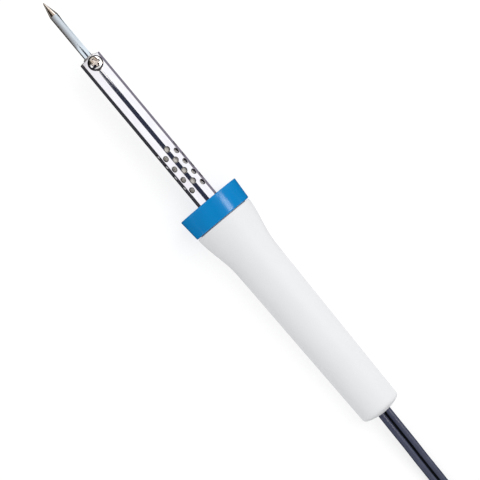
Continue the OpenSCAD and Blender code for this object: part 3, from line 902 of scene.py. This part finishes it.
def add_barrel():
    shell = Shell()
    turns = [STEP_TURN * i for i in range(ROWS * CELL_STEPS + 1)]
    vents_back = FIRST_VENT - PITCH / 2
    vents_front = FIRST_VENT + PITCH * PER_ROW
    plain_band(shell, [BARREL_BACK, -1, vents_back], turns)
    for row in range(ROWS):
        middle = row * 2 * math.pi / ROWS
        own = [middle + STEP_TURN * (i - CELL_STEPS / 2) for i in range(CELL_STEPS + 1)]
        shift = PITCH / 2 if row % 2 == 0 else 0
        for i in range(PER_ROW):
            holed_cell(shell, FIRST_VENT + PITCH * i + shift, middle, PITCH / 2, CELL_STEPS, VENT_R)
        steps = [i * PITCH / CELL_STEPS for i in range(CELL_STEPS // 2 + 1)]
        start = vents_back if row % 2 == 0 else vents_front - PITCH / 2
        plain_band(shell, [start + step for step in steps], own)
    seat_front = BARREL_FRONT - 0.25
    cell = [SCREW_X - SCREW_CELL + 2 * SCREW_CELL * i / SCREW_STEPS for i in range(SCREW_STEPS + 1)]
    round_cell = [STEP_TURN * (i + SCREW_STEPS / 2) for i in range(ROWS * CELL_STEPS - SCREW_STEPS + 1)]
    offset = [turn - STEP_TURN * SCREW_STEPS / 2 for turn in turns]
    plain_band(shell, [vents_front, 35, 45, 55, SCREW_X - SEAT_R - 0.2, cell[0]], offset)
    plain_band(shell, cell, round_cell)
    holed_cell(shell, SCREW_X, 0, SCREW_CELL, SCREW_STEPS, SCREW_HOLE)
    plain_band(shell, [cell[-1], seat_front], offset)
    wall_in = BARREL_R - BARREL_WALL
    lip = [(BARREL_R, BARREL_FRONT - 0.25, 0), (BARREL_R - 0.03, BARREL_FRONT - 0.1, 30),
           (BARREL_R - 0.1, BARREL_FRONT - 0.02, 65), (BARREL_R - 0.16, BARREL_FRONT, 90),
           (wall_in + 0.08, BARREL_FRONT, 90), (wall_in, BARREL_FRONT - 0.08, 180), (wall_in, seat_front, 180)]
    for (r0, x0, s0), (r1, x1, s1) in zip(lip, lip[1:]):
        for a0, a1 in zip(offset, offset[1:]):
            corners = []
            for r, x, slope, a in ((r0, x0, s0, a0), (r1, x1, s1, a0), (r1, x1, s1, a1), (r0, x0, s0, a1)):
                t = math.radians(slope)
                out = Vector((0, math.sin(a), math.cos(a)))
                if r == BARREL_R:
                    corners.append(shell.outer(x, a))
                else:
                    corners.append(shell.add(Vector((x, 0, 0)) + out * r,
                                             (out * math.cos(t) + Vector((math.sin(t), 0, 0))).normalized()))
            shell.quad(*corners)
    mesh = bpy.data.meshes.new("barrel_shell")
    mesh.from_pydata([TO_WORLD @ p for p in shell.points], [], shell.faces)
    mesh.shade_smooth()
    turn_only = TO_WORLD.to_3x3().normalized()
    mesh.normals_split_custom_set_from_vertices([(turn_only @ n).normalized() for n in shell.normals])
    barrel = bpy.data.objects.new("barrel_shell", mesh)
    bpy.context.collection.objects.link(barrel)
    settled(barrel, "root", "barrel_chrome", "barrel_tube")
    mesh.materials.append(RIM_LOOK)
    # The rim faces take the dark rim material, a painted shade.
    for i in shell.dark_faces:
        mesh.polygons[i].material_index = 1
    return barrel


barrel_shell = add_barrel()


# ---------------------------------------------------------------- tie and plug
TIE_W, TIE_T = 5.0, 0.7
# Corners of the bundle of cords inside the tie, as (y, z): one side is a layer lower
BUNDLE = [(6.15, 0.75), (6.15, 18.45), (-3.1, 18.45), (-6.15, 12.6), (-6.15, 0.75)]
BUNDLE_CORNER = 1.6
PLUG_AT = Vector((-282, 11, 5.8))
PLUG_L, PLUG_W, PLUG_H, NECK_W, NECK_H = 28.0, 22.0, 11.6, 9.0, 6.4
BLADE_L, BLADE_W, BLADE_T, BLADE_GAP, BLADE_HOLE = 17.0, 6.3, 1.5, 12.7, 3.0


def strap_line():
    """The strap's middle line as (y, z, distance out): one whole turn, and on over its own start."""
    corners = rounded([(y, z, BUNDLE_CORNER) for y, z in BUNDLE], 6)
    centre = Vector((0, 9.6))
    line = []
    for lap in range(2):
        for i, (y, z) in enumerate(corners):
            before, after = Vector(corners[i - 1]), Vector(corners[(i + 1) % len(corners)])
            along = (after - before).normalized()
            out = Vector((along.y, -along.x))
            if out.dot(Vector((y, z)) - centre) < 0:
                out = -out
            line.append((Vector((y, z)), out, lap))
    return line


def add_tie():
    """A soft strap round the hank, its end laid back over its own start."""
    line = strap_line()
    corner_points = len(line) // (2 * len(BUNDLE))
    start, stop = corner_points + corner_points // 2, len(line) // 2 + 2 * corner_points + 2
    centre_line = []
    for i in range(start, stop):
        point, out, lap = line[i]
        rise = smooth((i - start - len(line) // 2 + corner_points + 3) / corner_points)
        centre_line.append((point + out * (TIE_T / 2 + rise * (TIE_T + 0.04)), out))
    path = []
    for (p, out), (q, out_q) in zip(centre_line, centre_line[1:]):
        pieces = max(1, round((q - p).length / 1.2))
        path += [(p.lerp(q, k / pieces), out.lerp(out_q, k / pieces).normalized()) for k in range(pieces)]
    path.append(centre_line[-1])
    half_w, half_t = TIE_W / 2, TIE_T / 2
    section = [(half_w, -half_t * 0.4), (half_w, half_t * 0.4), (half_w - 0.25, half_t), (-half_w + 0.25, half_t),
               (-half_w, half_t * 0.4), (-half_w, -half_t * 0.4), (-half_w + 0.25, -half_t),
               (half_w - 0.25, -half_t)]
    rings = []
    for i, (p, out) in enumerate(path):
        end = min(i, len(path) - 1 - i)
        narrow = 1 if end > 1 else 0.78 + 0.11 * end
        rings.append([Vector((HANK_X + w * narrow, p.x + out.x * t, p.y + out.y * t)) * MM for w, t in section])
    return settled(swept("hank_strap", rings, sharp=50), "root", "tie_black", "cord_tie")


def plug_ring(u, wide, high, corner):
    """A rounded oblong round the plug's axis, u along it from the neck."""
    ring = []
    for sign_y, sign_z, start in ((1, 1, 0), (-1, 1, 90), (-1, -1, 180), (1, -1, 270)):
        for step in range(6):
            a = math.radians(start + 18 * step)
            y = sign_y * (wide / 2 - corner) + corner * math.cos(a)
            z = sign_z * (high / 2 - corner) + corner * math.sin(a)
            ring.append((PLUG_AT + Vector((-u, -y, z))) * MM)
    return ring


def plug_sections():
    """Place, width, height and corner along the plug: ribbed neck, shoulders, waisted grip and face."""
    sections = [(0, NECK_W - 1.6, NECK_H - 1.2, 2.4), (0.3, NECK_W - 1, NECK_H - 0.7, 2.6)]
    for rib in range(3):
        u = 0.5 + rib * 1.6
        sections += [(u, NECK_W - 0.8, NECK_H - 0.5, 2.7), (u + 0.2, NECK_W - 1.8, NECK_H - 1.5, 2.2),
                     (u + 0.7, NECK_W - 1.8, NECK_H - 1.5, 2.2), (u + 0.9, NECK_W - 0.7, NECK_H - 0.4, 2.7)]
    for step in range(1, 7):
        t = smooth(step / 6)
        sections.append((4.9 + 4.6 * step / 6, lerp(NECK_W - 0.5, PLUG_W - 1.4, t),
                         lerp(NECK_H - 0.3, PLUG_H - 1, t), lerp(2.8, 3.6, t)))
    for groove in range(5):
        u = 11 + groove * 2
        sections += [(u, PLUG_W - 0.8, PLUG_H - 0.6, 3.4), (u + 0.3, PLUG_W - 1.8, PLUG_H - 0.9, 3.2),
                     (u + 0.9, PLUG_W - 1.8, PLUG_H - 0.9, 3.2), (u + 1.2, PLUG_W - 0.8, PLUG_H - 0.6, 3.4)]
    sections += [(22, PLUG_W - 0.3, PLUG_H - 0.2, 3.2), (24, PLUG_W, PLUG_H, 3),
                 (PLUG_L - 1.2, PLUG_W, PLUG_H, 2.8), (PLUG_L - 0.35, PLUG_W - 0.35, PLUG_H - 0.35, 2.7),
                 (PLUG_L, PLUG_W - 1.2, PLUG_H - 1.2, 2.4)]
    return sections


def add_plug():
    rings = [plug_ring(*section) for section in plug_sections()]
    return settled(swept("plug_shell", rings, sharp=40), "root", "plug_pvc", "plug_body")


def add_blades():
    """Two flat blades with chamfered ends and a hole each."""
    end, half, nose = PLUG_L + BLADE_L, BLADE_W / 2, 1.2
    outline = [(PLUG_L, -half), (end - nose, -half), (end - 0.35, -half + 0.35), (end, -half + nose),
               (end, half - nose), (end - 0.35, half - 0.35), (end - nose, half), (PLUG_L, half)]
    blades = []
    for side in (-1, 1):
        rings = []
        for offset, inset in ((-0.5, 0.12), (-0.42, 0), (0.42, 0), (0.5, 0.12)):
            rings.append([(PLUG_AT + Vector((-min(u, end - inset), side * BLADE_GAP / 2 + offset * BLADE_T,
                                             max(min(w, half - inset), inset - half)))) * MM for u, w in outline])
        blade = swept("blade", rings)
        hole = []
        for offset in (-1, 1):
            hole.append([(PLUG_AT + Vector((4.8 - end + BLADE_HOLE / 2 * math.cos(a),
                                            side * BLADE_GAP / 2 + offset * BLADE_T,
                                            BLADE_HOLE / 2 * math.sin(a)))) * MM
                         for a in (2 * math.pi * i / 32 for i in range(32))])
        blades.append(subtract(blade, swept("hole_cutter", hole)))
    return settled(joined("contact_blades", blades), "root", "blade_metal", "plug_blades")


hank_strap = add_tie()
plug_shell = add_plug()
contact_blades = add_blades()


# ---------------------------------------------------------------- studio
CARD_R = 0.6                # distance of the reflected cards from the iron's axis
WORLD_LIGHT = 0.75
KEY_ANGLE, KEY_DISTANCE, KEY_SIZE, KEY_POWER = 27, 2.2, 1.6, 20
SHANK_BRIGHT, SHANK_DARK = (0.95, 0.94, 0.96), (0.08, 0.04, 0.02)   # light that fades across the bit
SHANK_BANDS = 12


def glowing(name, light):
    """A plain light-giving material."""
    material = bpy.data.materials.new(name)
    material.use_nodes = True
    tree = material.node_tree
    tree.nodes.clear()
    glow = tree.nodes.new("ShaderNodeEmission")
    glow.inputs["Color"].default_value = (*light, 1)
    out = tree.nodes.new("ShaderNodeOutputMaterial")
    tree.links.new(glow.outputs["Emission"], out.inputs["Surface"])
    return material


def reflected_only(card, light):
    """A studio card that only shows in glossy surfaces."""
    card.data.materials.append(glowing(card.name, light))
    card.visible_camera = card.visible_diffuse = card.visible_transmission = False
    card.visible_shadow = card.visible_volume_scatter = False
    return card


def arch_card(name, low, high, light, back=-0.9, front=0.9, nose=0.0, radius=CARD_R):
    """A curved card square over the iron between two angles from overhead; nose narrows its front."""
    points = []
    middle = (low + high) / 2
    for i in range(17):
        angle = lerp(low, high, i / 16)
        a = math.radians(angle)
        shorter = nose * abs(angle - middle) / ((high - low) / 2)
        lean = radius * math.cos(a) * AXIS.z / AXIS.x
        for x in (back, front - shorter):
            points.append((x - lean, radius * math.sin(a), radius * math.cos(a) + ORIGIN.z))
    return reflected_only(mesh_object(name, points, grid_faces(17, 2, close_columns=False)), light)


def flat_card(name, x0, x1, y0, y1, z, light):
    """A level card just above the bench."""
    points = [(x0, y0, z), (x1, y0, z), (x1, y1, z), (x0, y1, z)]
    return reflected_only(mesh_object(name, points, [(0, 1, 2, 3)]), light)


def add_floor():
    """A pale bench top that glows a little, as a lit sweep does."""
    floor = mesh_object("floor", [(-8, -8, 0), (8, -8, 0), (8, 8, 0), (-8, 8, 0)], [(0, 1, 2, 3)])
    look = Look("bench", (0.36, 0.36, 0.36), roughness=0.7, specular=0.02)
    look.shader.inputs["Emission Color"].default_value = (1, 1, 1, 1)
    look.shader.inputs["Emission Strength"].default_value = 0.68
    look.material.cycles.emission_sampling = "NONE"
    floor.data.materials.append(look.material)


def add_lights():
    world = bpy.data.worlds.new("studio")
    world.use_nodes = True
    sky = world.node_tree.nodes["Background"]
    sky.inputs["Color"].default_value = (1, 1, 1, 1)
    sky.inputs["Strength"].default_value = WORLD_LIGHT
    bpy.context.scene.world = world
    data = bpy.data.lights.new("key", "AREA")
    data.size = KEY_SIZE
    data.energy = KEY_POWER
    key = bpy.data.objects.new("key", data)
    bpy.context.collection.objects.link(key)
    a = math.radians(KEY_ANGLE)
    key.location = (0, -KEY_DISTANCE * math.sin(a), KEY_DISTANCE * math.cos(a))
    key.rotation_euler = (a, 0, 0)
    key.visible_glossy = False
    arch_card("bright_card", -104, -25, (1.08, 1.09, 1.12), front=0.1285)
    arch_card("fill_card", 16, 94, (1.05, 1.05, 1.08), front=0.1285)
    arch_card("dark_card", -25, 16, (0.03, 0.035, 0.06), back=-0.2, front=0.126, nose=0.016, radius=0.57)
    arch_card("cap_shade", -104, 94, (0.02, 0.02, 0.03), back=-0.2, front=-0.003, radius=0.56)
    arch_card("cap_strip", -54, -34, (13.5, 12, 11), back=-0.18, front=-0.018, radius=0.55)
    arch_card("screw_card", -25, 16, (1.6, 1.56, 1.5), back=0.1175, front=0.1285)
    arch_card("shank_bright", -104, -30, SHANK_BRIGHT, back=0.1285, front=0.227)
    for i in range(SHANK_BANDS):
        low, high = (lerp(-30, 104, (i + end) / SHANK_BANDS) for end in (0, 1))
        light = [lerp(bright, dark, (i + 0.5) / SHANK_BANDS) for bright, dark in zip(SHANK_BRIGHT, SHANK_DARK)]
        arch_card(f"shank_card_{i}", low, high, light, back=0.1285, front=0.227)
    arch_card("tip_edge", -104, -68, (0.12, 0.09, 0.08), back=0.227)
    arch_card("tip_bright", -68, -44, (2.4, 2.38, 2.35), back=0.227)
    arch_card("tip_line", -44, -32, (0.15, 0.11, 0.09), back=0.227)
    arch_card("tip_middle", -32, 8, (0.62, 0.56, 0.5), back=0.227)
    arch_card("tip_dark", 8, 104, (0.04, 0.033, 0.028), back=0.227)
    for side in (-1, 1):
        near, far = (0.008, 0.07) if side < 0 else (0.006, 0.5)
        edge = (0.23, 0.21, 0.26) if side < 0 else (0.04, 0.04, 0.05)
        flat_card(f"barrel_flag_{side + 1}", 0.005, 0.08, side * near, side * far, 0.0004, edge)
        flat_card(f"cap_flag_{side + 1}", -0.03, 0.005, side * near, side * 0.5, 0.0004, (0.02, 0.02, 0.03))
    flat_card("point_flag", 0.0985, 0.14, -0.3, -0.004, 0.0005, (0.05, 0.04, 0.035))
    flat_card("cord_flag", -0.16, -0.105, -0.3, 0.3, 0.0003, (0.01, 0.01, 0.015))
    flat_card("shank_flag", 0.08, 0.14, 0.004, 0.3, 0.0005, (0.09, 0.075, 0.065))


bpy.context.scene.view_settings.view_transform = "Standard"
add_floor()
add_lights()
dress_nodes()
